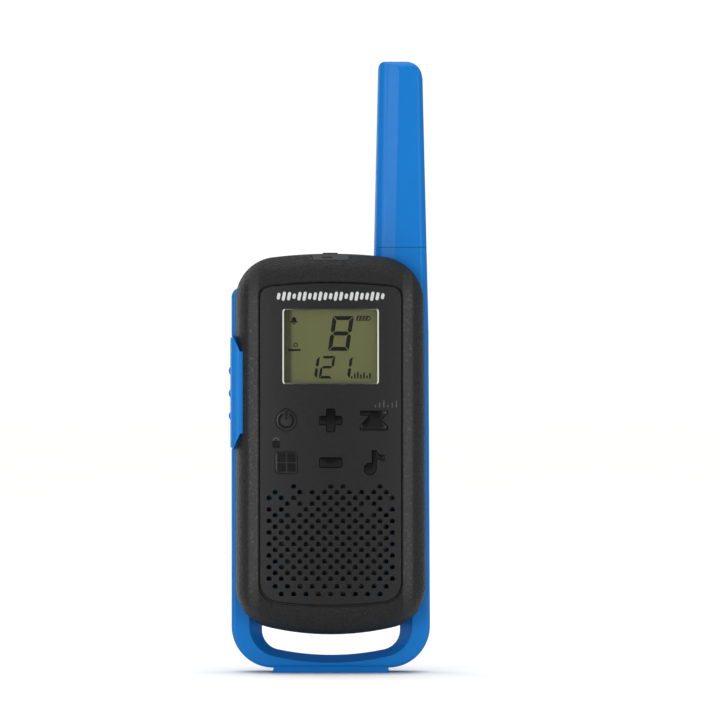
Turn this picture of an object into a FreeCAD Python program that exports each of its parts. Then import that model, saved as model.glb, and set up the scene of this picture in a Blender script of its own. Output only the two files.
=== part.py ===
import FreeCAD, Part
import math
import os

# A hand-held two-way radio: dark front housing, coloured rear housing with a carrying loop and
# a fixed antenna, and everything that sits inside and on them.
#
# Millimetres. +Z is up along the radio, the front faces -Y and +X is to the right of someone
# looking at the front. The origin is the centre of the standing foot's underside.

V = FreeCAD.Vector
X_AXIS, Y_AXIS, Z_AXIS = V(1, 0, 0), V(0, 1, 0), V(0, 0, 1)

# ---- driving dimensions -------------------------------------------------------------------
HEIGHT = 168.0              # foot to antenna tip
SEAM_Z = 116.8              # where the antenna sheath meets its base

FRONT_Y = -18.0             # crown of the front housing
PART_Y = -7.0               # parting plane of the two housings
FRAME_BACK_Y = 7.0          # back edge of the side strips and the loop
REAR_Y = 9.0                # flat back face
WALL = 1.8                  # housing wall

SHELL_HALF_W = 26.0
SHELL_TAPER = 0.6           # the antenna side leans in by this much at the top
SHELL_BOTTOM_Z = 10.8
SHELL_TOP_Z = 115.0
SHELL_BOTTOM_R = 76.0
SHELL_TOP_R = 132.0
SHELL_CORNER_R = 11.5
SHOULDER_R = 12.6           # rounder corner beside the antenna
FRONT_ROLL_R = 6.2          # rounding of the front edge
CROWN_R = 180.0             # the front face is part of a cylinder this large
REAR_INSET = 0.3            # the rear housing stays this far behind the front one's outline
REAR_ROLL_R = 3.4

PANEL_HALF_W = 19.7
PANEL_BOTTOM_Z = 18.5
PANEL_TOP_Z = 107.3
PANEL_BOTTOM_R = 117.0
PANEL_TOP_R = 140.0
PANEL_DEPTH = 0.6           # step down from the rim to the panel
GROOVE_WIDTH = 0.3
GROOVE_RAISE = 0.12         # makes the groove wider below and narrower above
GROOVE_DEPTH = 0.45         # below the panel
RIM_CHAMFER = 0.2
PANEL_ROLL = 0.35
ROOF = 2.0                  # crown to the inside of the front face

FRAME_HALF_W = 27.3
FRAME_TOP_HALF_W = 26.83    # antenna side, where the antenna's base starts
ANTENNA_BASE_Z = 94.0
FRAME_LEFT_TOP_Z = 105.8
LOOP_BOTTOM_Z = 1.4
LOOP_CORNER_R = 11.5
LOOP_HALF_OPENING = 19.0
LOOP_FLARE_HALF = 22.4      # half width of the opening at the front and back faces
LOOP_THROAT_Z = 4.6
LOOP_FLARE_Z = 2.8
LOOP_ARC_R = 70.0
FOOT_HALF_W = 16.1

ANTENNA_Y = -1.0
ANTENNA_LEFT = (11.85, 13.0)     # x at the seam and at the tip
ANTENNA_RIGHT = (26.3, 25.1)
ANTENNA_DEPTH = (11.0, 8.0)
ANTENNA_FACET = (2.9, 5.8)       # where the slanted front facet starts and ends, from the left
ANTENNA_AXIS_X = 19.0

BOARD_FRONT_Y = -11.0
BOARD_BACK_Y = -10.0

WINDOW = (26.5, 20.8)       # width and height of the display window
WINDOW_Z = 89.6

KEY_COLUMNS = (-12.1, 0.0, 11.8)
KEY_ROWS = (69.4, 57.9)
KEY_GAP = 0.2
KEY_PROUD = 0.35

GRILLE_TOP_Z = 51.4
GRILLE_COLUMN = 3.375
GRILLE_ROW = 1.575
GRILLE_LAST_ROW = 2.1
GRILLE_HOLE_R = 0.56
SPEAKER_Z = 36.7
SPEAKER_R = 14.0
MICROPHONE = (15.2, 49.8)

PTT_Z = (61.6, 92.4)
PTT_OUT_X = -27.5
PTT_IN_X = -23.4
PTT_FRONT_Y = -14.7
PTT_BACK_Y = 0.0
PTT_SKIN_Y = -10.8           # the button is full height from here back
PTT_SKIN = 1.1               # skin of the front housing over the button's ends
PTT_SLANT = 4.2              # height of the notch's slanted ends
PTT_GAP = 0.2
PTT_TRAVEL = 0.6
PTT_FLOOR_X = PTT_IN_X + PTT_TRAVEL + 0.2
PTT_RIB_PITCH = 6.15

JACK = (-5.2, -10.5)
JACK_BORE_R = 1.25
USB = (4.2, -10.5)
COVER_HALF_W = 9.4
COVER_TAB_HALF_W = 5.6
COVER_BACK_Y = -8.2
COVER_THICK = 1.2

SCREWS = [(side * 21.8, z) for side in (-1, 1) for z in (21.0, 97.0)]
BOARD_SCREWS = [(side * 18.0, z) for side in (-1, 1) for z in (56.5, 82.5)]
SCREW_TIP_Y = -12.6
BOARD_SCREW_TIP_Y = -14.8

CELL_R = 5.25
CELL_LENGTH = 44.5
CELL_PITCH = 10.8
CELL_Y = 0.95
BAY_HALF_W = 16.5
BAY_Z = (16.2, 65.4)
BAY_FLOOR_Y = -4.6
BAY_WALL = 1.2
DOOR_HALF_W = 17.75
DOOR_Z = (17.35, 66.85)
DOOR_THICK = 1.75
DOOR_GAP = 0.15
DOOR_TAB_X = 5.4

RAIL_Z = (86.0, 106.0)
RAIL_NECK_HALF_W = 5.0
RAIL_HEAD_HALF_W = 7.5
CLIP_BASE_Y = (9.2, 13.4)
CLIP_BASE_Z = (84.8, 109.0)
CLIP_BASE_HALF_W = 10.5
CLIP_PIN = (15.3, 100.0)    # y, z of the hinge pin
CLIP_PIN_R = 1.0
CLIP_ARM_HALF_W = 9.9
CLIP_ARM_Y = (17.8, 19.6)


# ---- helpers ------------------------------------------------------------------------------
def box(x, y, z):
    """A box from three (low, high) pairs."""
    return Part.makeBox(x[1] - x[0], y[1] - y[0], z[1] - z[0], V(x[0], y[0], z[0]))


def rod(radius, start, end):
    """A cylinder from one point to another."""
    along = end - start
    return Part.makeCylinder(radius, along.Length, start, along)


def fuse(*solids):
    return solids[0].multiFuse(list(solids[1:])).removeSplitter()


def polygon_prism(points, low, high, axis="y"):
    """A prism on a polygon. points are (x, z) for axis y, (x, y) for z and (y, z) for x."""
    place = {
        "y": lambda a, b: V(a, low, b),
        "z": lambda a, b: V(a, b, low),
        "x": lambda a, b: V(low, a, b),
    }[axis]
    direction = {"y": Y_AXIS, "z": Z_AXIS, "x": X_AXIS}[axis]
    corners = [place(a, b) for a, b in points]
    wire = Part.makePolygon(corners + corners[:1])
    return Part.Face(wire).extrude(direction * (high - low))


def edges_along(shape, axis, keep=lambda c: True):
    """The straight edges that run along an axis and whose centre passes a test."""
    found = []
    for edge in shape.Edges:
        if not isinstance(edge.Curve, (Part.Line, Part.LineSegment)):
            continue
        if abs(edge.tangentAt(edge.FirstParameter).dot(axis)) > 0.999 and keep(edge.CenterOfMass):
            found.append(edge)
    return found


def rounded_box(x, y, z, radius, axis):
    """A box whose four edges along an axis are rounded."""
    solid = box(x, y, z)
    return solid.makeFillet(radius, edges_along(solid, axis))


def turned(profile, start, axis):
    """A solid of revolution: profile is [(radius, distance along the axis), ...]."""
    points = [V(r, 0, d) for r, d in profile]
    face = Part.Face(Part.makePolygon(points + points[:1]))
    solid = face.revolve(V(0, 0, 0), Z_AXIS, 360)
    solid.Placement = FreeCAD.Placement(start, FreeCAD.Rotation(Z_AXIS, axis))
    return solid


def coil(radius, wire_r, pitch, length, start, axis):
    """A helical wire."""
    path = Part.makeHelix(pitch, length, radius)
    along = V(0, 2 * math.pi * radius, pitch)
    ring = Part.Wire(Part.makeCircle(wire_r, V(radius, 0, 0), along))
    solid = Part.Wire(path).makePipeShell([ring], True, True)
    solid.Placement = FreeCAD.Placement(start, FreeCAD.Rotation(Z_AXIS, axis))
    return solid


def barrel_outline(left, right, low, high, bottom_r, top_r):
    """A face in the XZ plane: straight sides, arched bottom and top. left and right are
    (x at the bottom, x at the top), low and high the arches' furthest points."""
    def arch(x, apex, radius, up):
        drop = radius - math.sqrt(radius * radius - x * x)
        return V(x, 0, apex + (drop if up else -drop))

    bottom_left, bottom_right = (arch(x, low, bottom_r, True) for x in (left[0], right[0]))
    top_left, top_right = (arch(x, high, top_r, False) for x in (left[1], right[1]))
    edges = [
        Part.Arc(bottom_left, V(0, 0, low), bottom_right).toShape(),
        Part.makeLine(bottom_right, top_right),
        Part.Arc(top_right, V(0, 0, high), top_left).toShape(),
        Part.makeLine(top_left, bottom_left),
    ]
    return Part.Face(Part.Wire(edges))


def round_corners(prism, radii):
    """Rounds a prism's four edges along Y. radii are for the lower left, lower right, upper
    right and upper left corners."""
    middle = prism.BoundBox.Center
    for i, radius in enumerate(radii):
        right, upper = i in (1, 2), i in (2, 3)
        edge = edges_along(prism, Y_AXIS,
                           lambda c: (c.x > middle.x) == right and (c.z > middle.z) == upper)
        prism = prism.makeFillet(radius, edge)
    return prism


def shell_prism(inset, front, back):
    """The housings' common outline, inset, between two Y planes."""
    half = SHELL_HALF_W - inset
    face = barrel_outline((-half, -half), (half, half - SHELL_TAPER), SHELL_BOTTOM_Z + inset,
                          SHELL_TOP_Z - inset, SHELL_BOTTOM_R - inset, SHELL_TOP_R - inset)
    face.translate(V(0, front, 0))
    prism = face.extrude(Y_AXIS * (back - front))
    corner, shoulder = SHELL_CORNER_R - inset, SHOULDER_R - inset
    return round_corners(prism, (corner, corner, shoulder, corner))


def crown(inset):
    """Everything behind the crowned front face, moved back by inset."""
    centre = V(0, FRONT_Y + CROWN_R, -5)
    return Part.makeCylinder(CROWN_R - inset, HEIGHT + 10, centre, Z_AXIS)


def front_edges(solid, depth=5.0):
    """The edges round the front face of a pillow."""
    return [e for e in solid.Edges
            if e.CenterOfMass.y < PART_Y - depth and e.BoundBox.YMax < PART_Y - 1]


def pillow(inset, crown_inset, roll):
    """The front housing's outside, or its inside when inset: crowned, with a rolled edge."""
    solid = shell_prism(inset, FRONT_Y - 1, PART_Y).common(crown(crown_inset))
    return solid.makeFillet(roll, front_edges(solid))


def panel_prism(inset, front, back):
    """The outline of the recessed front panel."""
    half = PANEL_HALF_W - inset
    face = barrel_outline((-half, -half), (half, half), PANEL_BOTTOM_Z + inset,
                          PANEL_TOP_Z - inset, PANEL_BOTTOM_R, PANEL_TOP_R)
    face.translate(V(0, front, 0))
    return round_corners(face.extrude(Y_AXIS * (back - front)), (5.5, 5.5, 3.2, 3.2))


# ---- keys ---------------------------------------------------------------------------------
KEY_FRONT, KEY_BACK = FRONT_Y - 1, -13.6


def key_power():
    disc = rod(2.75, V(0, KEY_FRONT, 0), V(0, KEY_BACK, 0))
    return fuse(disc, box((-0.55, 0.55), (KEY_FRONT, KEY_BACK), (0, 3.1)))


def key_plus():
    arm, half = 3.05, 1.08
    upright = rounded_box((-half, half), (KEY_FRONT, KEY_BACK), (-arm, arm), 0.4, Y_AXIS)
    cross = rounded_box((-arm, arm), (KEY_FRONT, KEY_BACK), (-half, half), 0.4, Y_AXIS)
    return fuse(upright, cross)


def key_minus():
    return rounded_box((-3.0, 3.0), (KEY_FRONT, KEY_BACK), (-1.25, 1.25), 0.5, Y_AXIS)


def key_menu():
    return rounded_box((-2.95, 2.95), (KEY_FRONT, KEY_BACK), (-2.8, 2.8), 0.8, Y_AXIS)


def key_scan():
    """A zigzag of two bars and a slanting stroke."""
    half_w, half_h, bar = 3.6, 2.5, 1.0
    outline = [(-half_w, half_h), (half_w, half_h), (half_w, half_h - 0.6), (1.7, 0.1),
               (half_w, -half_h + 0.9), (half_w, -half_h), (-half_w, -half_h),
               (-half_w, -half_h + bar), (-0.9, half_h - bar), (-half_w, half_h - bar)]
    return polygon_prism(outline, KEY_FRONT, KEY_BACK)


def key_tone():
    """A quaver."""
    head = rod(1.5, V(-1.1, KEY_FRONT, -1.75), V(-1.1, KEY_BACK, -1.75))
    stem = box((-0.4, 0.55), (KEY_FRONT, KEY_BACK), (-1.9, 3.2))
    flag = polygon_prism([(-0.4, 3.2), (0.4, 3.2), (1.3, 2.1), (2.7, 1.9), (2.7, 0.7),
                          (2.0, 0.7), (1.9, 1.0), (0.5, 1.1)], KEY_FRONT, KEY_BACK)
    return fuse(head, stem, flag)


KEYS = {
    "key_power": (key_power, 0, 0), "key_plus": (key_plus, 1, 0), "key_scan": (key_scan, 2, 0),
    "key_menu": (key_menu, 0, 1), "key_minus": (key_minus, 1, 1), "key_tone": (key_tone, 2, 1),
}


def key_place(column, row):
    return V(KEY_COLUMNS[column], 0, KEY_ROWS[row])


def key_hole(make):
    """The hole that a key comes through: its outline, grown by the gap."""
    face = [f for f in make().Faces if f.BoundBox.YMax < KEY_FRONT + 0.01][0]
    grown = Part.Face(face.OuterWire).makeOffset2D(KEY_GAP)
    return grown.extrude(Y_AXIS * (KEY_BACK - KEY_FRONT))


def key(name):
    """A shaped cap that stands proud of the panel, on a flange that holds it in."""
    make, column, row = KEYS[name]
    place = key_place(column, row)
    cap = make()
    cap.translate(place)
    cap = cap.common(crown(PANEL_DEPTH - KEY_PROUD))
    flange = rounded_box((-3.8, 3.8), (-17, KEY_BACK), (-3.7, 3.7), 1.2, Y_AXIS)
    flange.translate(place)
    flange = flange.common(crown(ROOF + 0.1))
    return fuse(cap, flange)


# ---- front housing ------------------------------------------------------------------------
def grille_rows():
    """(z, columns) for each row of speaker holes. Rows alternate by half a column, and the
    first ones thin out towards the keys."""
    missing = {0: (-5, -4, -2, -1, 2, 3, 5), 1: (-3.5,), 2: (-2,), 3: (-4.5, 4.5), 4: (-3, 3),
               18: (-5, 5)}
    z = GRILLE_TOP_Z
    for row in range(19):
        start, count = (-5, 11) if row % 2 == 0 else (-4.5, 10)
        yield z, [start + i for i in range(count) if start + i not in missing.get(row, ())]
        z -= GRILLE_ROW if row < 16 else GRILLE_LAST_ROW


def grille_holes():
    """Countersunk speaker holes, as one cutting tool."""
    sink = 0.2
    tools = []
    for z, columns in grille_rows():
        for column in columns:
            x = column * GRILLE_COLUMN
            surface = FRONT_Y + PANEL_DEPTH + x * x / (2 * CROWN_R)
            profile = [(0, 0), (GRILLE_HOLE_R + 0.1 + sink, 0), (GRILLE_HOLE_R, 0.1 + sink),
                       (GRILLE_HOLE_R, 3.0), (0, 3.0)]
            tools.append(turned(profile, V(x, surface - 0.1, z), Y_AXIS))
    return Part.makeCompound(tools)


def under_skin(depth):
    """The front housing's outside, moved in by depth."""
    return pillow(depth, depth, FRONT_ROLL_R - depth)


def ptt_pocket():
    """The space in the left side that the push-to-talk button moves in: all its height behind
    the skin, and only the straight part of the notch in front of that."""
    gap = PTT_GAP
    deep = rounded_box((-30, PTT_FLOOR_X), (PTT_SKIN_Y - gap, PTT_BACK_Y + gap),
                       (PTT_Z[0] - gap, PTT_Z[1] + gap), 0.4, X_AXIS)
    front = box((-26, PTT_FLOOR_X), (PTT_FRONT_Y - gap, PTT_SKIN_Y + 1),
                (PTT_Z[0] - gap + PTT_SLANT, PTT_Z[1] + gap - PTT_SLANT))
    ends = box((-26, PTT_FLOOR_X), (PTT_FRONT_Y, PTT_SKIN_Y + 1), (PTT_Z[0] - gap, PTT_Z[1] + gap))
    return fuse(deep, front, ends.common(under_skin(PTT_SKIN)))


def ptt_front_notch():
    """The bite out of the front housing's edge through which the button is seen."""
    low, high, depth = PTT_Z[0] - PTT_GAP, PTT_Z[1] + PTT_GAP, -24.0
    outline = [(-30, low), (-25.9, low), (depth, low + PTT_SLANT), (depth, high - PTT_SLANT),
               (-25.9, high), (-30, high)]
    notch = polygon_prism(outline, FRONT_Y - 1, PART_Y)
    return notch.makeFillet(2.0, edges_along(notch, Y_AXIS, lambda c: c.x > -25))


def ptt_well(front, back):
    """The wall that closes the button's pocket off from the inside."""
    return box((-25.0, PTT_FLOOR_X + 1.4), (front, back), (PTT_Z[0] - 1.7, PTT_Z[1] + 1.7))


def ptt_stem(gap):
    return box((PTT_IN_X - 0.5, PTT_IN_X + 2.0 + gap * 10), (-10.1 - gap, -7.6 + gap),
               (74.5 - gap, 79.1 + gap))


def port_cover_plan(gap):
    """Where the port cover lies: a wide part on the top and a tab that wraps to the front."""
    wide = box((-COVER_HALF_W - gap, COVER_HALF_W + gap), (-13.9 - gap, COVER_BACK_Y + gap),
               (108, SHELL_TOP_Z + 2))
    top, low = COVER_TAB_HALF_W + gap, COVER_TAB_HALF_W - 0.8 + gap
    tab = polygon_prism([(-low, 113.2 - gap), (low, 113.2 - gap), (top, SHELL_TOP_Z + 2),
                         (-top, SHELL_TOP_Z + 2)], FRONT_Y, -13.0)
    return fuse(wide, tab)


def boss(x, z, outer_r, hole_r, hole_front, back):
    """A screw post and the hole in it. The post is cut off later where the skin begins."""
    return rod(outer_r, V(x, -17.2, z), V(x, back, z)), \
        rod(hole_r, V(x, hole_front, z), V(x, back + 0.1, z))


def seal_ring(grow):
    """The groove between the housings, and the seal that lies in it."""
    outer = shell_prism(0.55 - grow, PART_Y - 0.6 - grow, PART_Y)
    return outer.cut(shell_prism(1.25 + grow, PART_Y - 2, PART_Y + 1))


def panel_edges(solid, inset):
    """The edges round the panel that lie on the crown moved in by inset."""
    def on_it(point):
        return abs(point.y - FRONT_Y - inset - point.x ** 2 / (2 * CROWN_R)) < 0.05

    return [e for e in solid.Edges
            if abs(e.CenterOfMass.x) < PANEL_HALF_W + 0.1 and on_it(e.valueAt(e.FirstParameter))
            and on_it(e.valueAt(e.LastParameter)) and e.BoundBox.YMax < FRONT_Y + inset + 1.3
            and PANEL_BOTTOM_Z - 1 < e.CenterOfMass.z < PANEL_TOP_Z + 1]


def recessed_pillow():
    """The front housing's outside with its sunk panel and the groove round the panel, wider
    below. The rim's inner edge and the panel's own edge are softened."""
    prism = panel_prism(0, FRONT_Y - 2, PART_Y - 1)
    outside = pillow(0, 0, FRONT_ROLL_R).cut(prism.cut(crown(PANEL_DEPTH)))
    outside = outside.makeChamfer(RIM_CHAMFER, panel_edges(outside, 0))
    inner = panel_prism(GROOVE_WIDTH, FRONT_Y - 2, PART_Y)
    inner.translate(V(0, 0, GROOVE_RAISE))
    outside = outside.cut(prism.cut(inner).cut(crown(PANEL_DEPTH + GROOVE_DEPTH)))
    return outside.makeFillet(PANEL_ROLL, panel_edges(outside, PANEL_DEPTH))


def front_housing():
    shell = recessed_pillow().cut(pillow(WALL, ROOF, FRONT_ROLL_R - WALL))

    inner, cuts = [ptt_well(FRONT_Y, PART_Y)], []
    for x, z in SCREWS:
        post, hole = boss(x, z, 2.6, 1.1, SCREW_TIP_Y - 0.5, PART_Y)
        inner.append(post)
        cuts.append(hole)
    for x, z in BOARD_SCREWS:
        post, hole = boss(x, z, 1.9, 0.82, BOARD_SCREW_TIP_Y - 0.5, BOARD_FRONT_Y)
        inner.append(post)
        cuts.append(hole)
    ring = rod(SPEAKER_R + 1.5, V(0, -17.0, SPEAKER_Z), V(0, -12.2, SPEAKER_Z))
    inner.append(ring.cut(rod(SPEAKER_R + 0.3, V(0, -18, SPEAKER_Z), V(0, -12, SPEAKER_Z))))
    limit = pillow(0.5, PANEL_DEPTH + 0.6, FRONT_ROLL_R - 0.5)
    shell = fuse(shell, *[piece.common(limit) for piece in inner])

    half_w, half_h = WINDOW[0] / 2, WINDOW[1] / 2
    cuts.append(rounded_box((-half_w, half_w), (FRONT_Y - 1, -14),
                            (WINDOW_Z - half_h, WINDOW_Z + half_h), 0.9, Y_AXIS))
    for make, column, row in KEYS.values():
        hole = key_hole(make)
        hole.translate(key_place(column, row))
        cuts.append(hole)
    cuts += [ptt_pocket(), ptt_front_notch(), ptt_stem(0.25), seal_ring(0.02)]
    cuts.append(rod(2.7, V(JACK[0], JACK[1], 110), V(JACK[0], JACK[1], 118)))
    cuts.append(rounded_box((USB[0] - 4.1, USB[0] + 4.1), (USB[1] - 1.6, USB[1] + 1.6),
                            (110, 118), 0.8, Z_AXIS))
    cuts.append(port_cover_plan(0.12).cut(pillow(COVER_THICK, COVER_THICK,
                                                 FRONT_ROLL_R - COVER_THICK)))
    shell = shell.cut(Part.makeCompound(cuts))
    return shell.cut(grille_holes())


# ---- rear housing -------------------------------------------------------------------------
def rear_block(inset):
    """The rear housing's outside behind the front housing, or its inside when inset."""
    solid = shell_prism(REAR_INSET + inset, PART_Y, REAR_Y - inset)
    back = [e for e in solid.Edges if e.BoundBox.YMin > REAR_Y - inset - 0.01]
    return solid.makeFillet(REAR_ROLL_R - inset * 0.8, back)


def loop_outline(half, bottom, corner, front, back):
    """A tall shape with rounded lower corners and an arched bottom."""
    face = barrel_outline((-half, -half), (half, half), bottom, 40, LOOP_ARC_R, 400)
    face.translate(V(0, front, 0))
    return round_corners(face.extrude(Y_AXIS * (back - front)), (corner, corner, 1, 1))


def loop_flare(face_y, throat_y):
    """The funnel from a face of the loop to its throat."""
    sections = []
    for y, half, bottom, corner in ((face_y, LOOP_FLARE_HALF, LOOP_FLARE_Z, 8.5),
                                    (throat_y, LOOP_HALF_OPENING, LOOP_THROAT_Z, 5.5)):
        prism = loop_outline(half, bottom, corner, y, y + 1)
        face = [f for f in prism.Faces if f.BoundBox.YMax < y + 0.01][0]
        sections.append(face.OuterWire)
    return Part.makeLoft(sections, True, True)


def frame():
    """Side strips and carrying loop, with the foot."""
    outline = [(-FRAME_HALF_W, LOOP_BOTTOM_Z), (FRAME_HALF_W, LOOP_BOTTOM_Z),
               (FRAME_TOP_HALF_W, ANTENNA_BASE_Z), (0, ANTENNA_BASE_Z),
               (0, FRAME_LEFT_TOP_Z), (-FRAME_HALF_W, FRAME_LEFT_TOP_Z)]
    solid = polygon_prism(outline, PART_Y, FRAME_BACK_Y)
    solid = solid.makeFillet(LOOP_CORNER_R, edges_along(solid, Y_AXIS, lambda c: c.z < 10))
    solid = solid.makeFillet(2.6, edges_along(solid, Y_AXIS,
                                              lambda c: c.x < -25 and c.z > 90))
    rim = [e for e in solid.Edges
           if e.BoundBox.YMax < PART_Y + 0.01 or e.BoundBox.YMin > FRAME_BACK_Y - 0.01]
    solid = solid.makeFillet(1.1, rim)
    foot_outline = [(-FOOT_HALF_W, 0), (FOOT_HALF_W, 0), (FOOT_HALF_W - 0.7, LOOP_BOTTOM_Z + 1),
                    (-FOOT_HALF_W + 0.7, LOOP_BOTTOM_Z + 1)]
    foot = polygon_prism(foot_outline, PART_Y + 0.4, FRAME_BACK_Y - 0.4)
    foot = foot.makeFillet(0.5, edges_along(foot, Y_AXIS, lambda c: c.z < 0.5))
    solid = fuse(solid, foot)
    throat = loop_outline(LOOP_HALF_OPENING, LOOP_THROAT_Z, 5.5, PART_Y - 1, FRAME_BACK_Y + 1)
    front = loop_flare(PART_Y - 0.01, PART_Y + 5.5)
    back = loop_flare(FRAME_BACK_Y + 0.01, FRAME_BACK_Y - 5.5)
    return solid.cut(throat).cut(front).cut(back)


def antenna_section(left, right, depth, z):
    """The antenna's outline at one height: rounded left side, slanted facet beside it, flat
    face, and a smaller rounding on the right. Front and back mirror each other."""
    half = [(left, 0.38), (left + 0.8, 0.2), (left + ANTENNA_FACET[0], 0.09),
            (left + ANTENNA_FACET[1], 0.0), (right - 1.8, 0.0), (right - 0.5, 0.06),
            (right, 0.2)]
    edges, ends = [], []
    for side in (-1, 1):
        p = [V(x, ANTENNA_Y + side * depth * (0.5 - share), z) for x, share in half]
        edges += [Part.Arc(p[0], p[1], p[2]).toShape(), Part.makeLine(p[2], p[3]),
                  Part.makeLine(p[3], p[4]), Part.Arc(p[4], p[5], p[6]).toShape()]
        ends.append((p[0], p[6]))
    edges += [Part.makeLine(near, far) for near, far in zip(*ends)]
    return Part.Wire(Part.__sortEdges__(edges))


def antenna_body(low, high):
    """The antenna's outside between two heights, sides leaning in towards the tip."""
    def at(pair, z):
        return pair[0] + (pair[1] - pair[0]) * (z - SEAM_Z) / (HEIGHT - SEAM_Z)

    sections = [antenna_section(at(ANTENNA_LEFT, z), at(ANTENNA_RIGHT, z),
                                at(ANTENNA_DEPTH, z), z) for z in (low, high)]
    return Part.makeLoft(sections, True, True)


def battery_bay_block():
    """Solid that the bay is cut from, with the ledge that the door rests on."""
    walls = box((-BAY_HALF_W - BAY_WALL, BAY_HALF_W + BAY_WALL),
                (BAY_FLOOR_Y - BAY_WALL, REAR_Y - 1), (12.0, BAY_Z[1] + BAY_WALL))
    ledge = box((-DOOR_HALF_W - 1.4, DOOR_HALF_W + 1.4), (5.7, REAR_Y - 1), (12.0, 69.0))
    return [walls, ledge]


def battery_bay_cuts():
    gap = DOOR_GAP
    bay = box((-BAY_HALF_W, BAY_HALF_W), (BAY_FLOOR_Y, REAR_Y + 1), BAY_Z)
    lip = box((-BAY_HALF_W - 1, BAY_HALF_W + 1), (REAR_Y - DOOR_THICK - 0.05, REAR_Y + 2),
              (BAY_Z[0] - 1, DOOR_Z[0] - gap))
    bay = bay.cut(lip)
    seat = rounded_box((-DOOR_HALF_W - gap, DOOR_HALF_W + gap),
                       (REAR_Y - DOOR_THICK - 0.05, REAR_Y + 1),
                       (DOOR_Z[0] - gap, DOOR_Z[1] + gap), 1.4, Y_AXIS)
    slots = [box((side * DOOR_TAB_X - 2.2, side * DOOR_TAB_X + 2.2), (5.4, 7.2), (15.3, 17.4))
             for side in (-1, 1)]
    catch = box((-3.4, 3.4), (5.9, 7.26), (65.0, 68.0))
    return [bay, seat, catch] + slots


def clip_rail():
    neck = box((-RAIL_NECK_HALF_W, RAIL_NECK_HALF_W), (REAR_Y - 1, 10.5), RAIL_Z)
    head = box((-RAIL_HEAD_HALF_W, RAIL_HEAD_HALF_W), (10.4, 11.6), RAIL_Z)
    rail = fuse(neck, head)
    return rail.makeChamfer(0.35, edges_along(rail, X_AXIS, lambda c: c.y > 11.5))


def rear_housing():
    base = antenna_body(88.0, SEAM_Z)
    base = base.common(box((0, 40), (PART_Y, 20), (ANTENNA_BASE_Z - 1, SEAM_Z)))
    outside = fuse(rear_block(0), frame(), base)

    cavity = rear_block(WALL)
    keep = battery_bay_block() + [ptt_well(PART_Y, PTT_BACK_Y + 1.6)]
    cuts = battery_bay_cuts() + [ptt_pocket(), ptt_stem(0.25)]
    for x, z in SCREWS:
        keep.append(rod(2.9, V(x, PART_Y, z), V(x, REAR_Y - 1, z)))
        cuts.append(rod(1.3, V(x, PART_Y - 1, z), V(x, REAR_Y, z)))
        cuts.append(rod(2.3, V(x, 4.0, z), V(x, REAR_Y + 1, z)))
    cavity = cavity.cut(Part.makeCompound(keep))
    socket_floor = 105.0
    cuts.append(rod(4.05, V(ANTENNA_AXIS_X, ANTENNA_Y, 112.6),
                    V(ANTENNA_AXIS_X, ANTENNA_Y, SEAM_Z + 1)))
    cuts.append(rod(2.2, V(ANTENNA_AXIS_X, ANTENNA_Y, socket_floor),
                    V(ANTENNA_AXIS_X, ANTENNA_Y, SEAM_Z)))
    shell = outside.cut(cavity).cut(Part.makeCompound(cuts))
    return fuse(shell, clip_rail())


# ---- antenna ------------------------------------------------------------------------------
def antenna_sheath():
    """The blade above the seam: small rounding on the left of its tip, large on the right."""
    blade = antenna_body(SEAM_Z + 0.12, HEIGHT)
    left, right = ANTENNA_LEFT[1], ANTENNA_RIGHT[1]
    mask = box((left - 5, right + 5), (-20, 20), (SEAM_Z - 9, HEIGHT))
    for x, radius, corner in ((left, 2.0, -1), (right, 4.6, 1)):
        centre = V(x - corner * radius, -20, HEIGHT - radius)
        block = box(sorted((x - corner * radius, x + corner * 6)), (-20, 20),
                    (HEIGHT - radius, HEIGHT + 1))
        mask = mask.cut(block.cut(Part.makeCylinder(radius, 40, centre, Y_AXIS)))
    blade = blade.common(mask)
    side_round = []
    for face_y, inward in ((ANTENNA_Y - ANTENNA_DEPTH[1] / 2, 1),
                           (ANTENNA_Y + ANTENNA_DEPTH[1] / 2, -1)):
        radius = 2.4
        centre = V(0, face_y + inward * radius, HEIGHT - radius)
        block = box((0, 40), sorted((face_y - inward * 4, face_y + inward * radius)),
                    (HEIGHT - radius, HEIGHT + 1))
        side_round.append(block.cut(Part.makeCylinder(radius, 40, centre, X_AXIS)))
    blade = blade.cut(Part.makeCompound(side_round))
    spigot = rod(3.95, V(ANTENNA_AXIS_X, ANTENNA_Y, 112.9), V(ANTENNA_AXIS_X, ANTENNA_Y, 118))
    bore = rod(2.9, V(ANTENNA_AXIS_X, ANTENNA_Y, 112), V(ANTENNA_AXIS_X, ANTENNA_Y, 162))
    return fuse(blade, spigot).cut(bore)


def antenna_coil():
    return coil(2.2, 0.45, 3.0, 42.0, V(ANTENNA_AXIS_X, ANTENNA_Y, 118.0), Z_AXIS)


def antenna_core():
    return rod(1.6, V(ANTENNA_AXIS_X, ANTENNA_Y, 117.2), V(ANTENNA_AXIS_X, ANTENNA_Y, 161.5))


def antenna_feed():
    """Brass stud from the board's contact up into the coil's foot."""
    return turned([(0, 0), (1.2, 0), (1.2, 6.5), (2.1, 6.5), (2.1, 7.7), (1.2, 7.7),
                   (1.2, 11.0), (0, 11.0)], V(ANTENNA_AXIS_X, ANTENNA_Y, 106.0), Z_AXIS)


# ---- display ------------------------------------------------------------------------------
def framed(half_w, half_h, front, back, radius, centre_z=WINDOW_Z):
    return rounded_box((-half_w, half_w), (front, back), (centre_z - half_h, centre_z + half_h),
                       radius, Y_AXIS)


def display_window():
    half_w, half_h = WINDOW[0] / 2, WINDOW[1] / 2
    raised = framed(half_w - 0.08, half_h - 0.08, FRONT_Y - 1, -15.4, 0.85)
    raised = raised.common(crown(PANEL_DEPTH + 0.12))
    flange = framed(half_w + 0.9, half_h + 0.9, -17, -15.0, 1.2).common(crown(ROOF + 0.05))
    return fuse(raised, flange)


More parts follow.
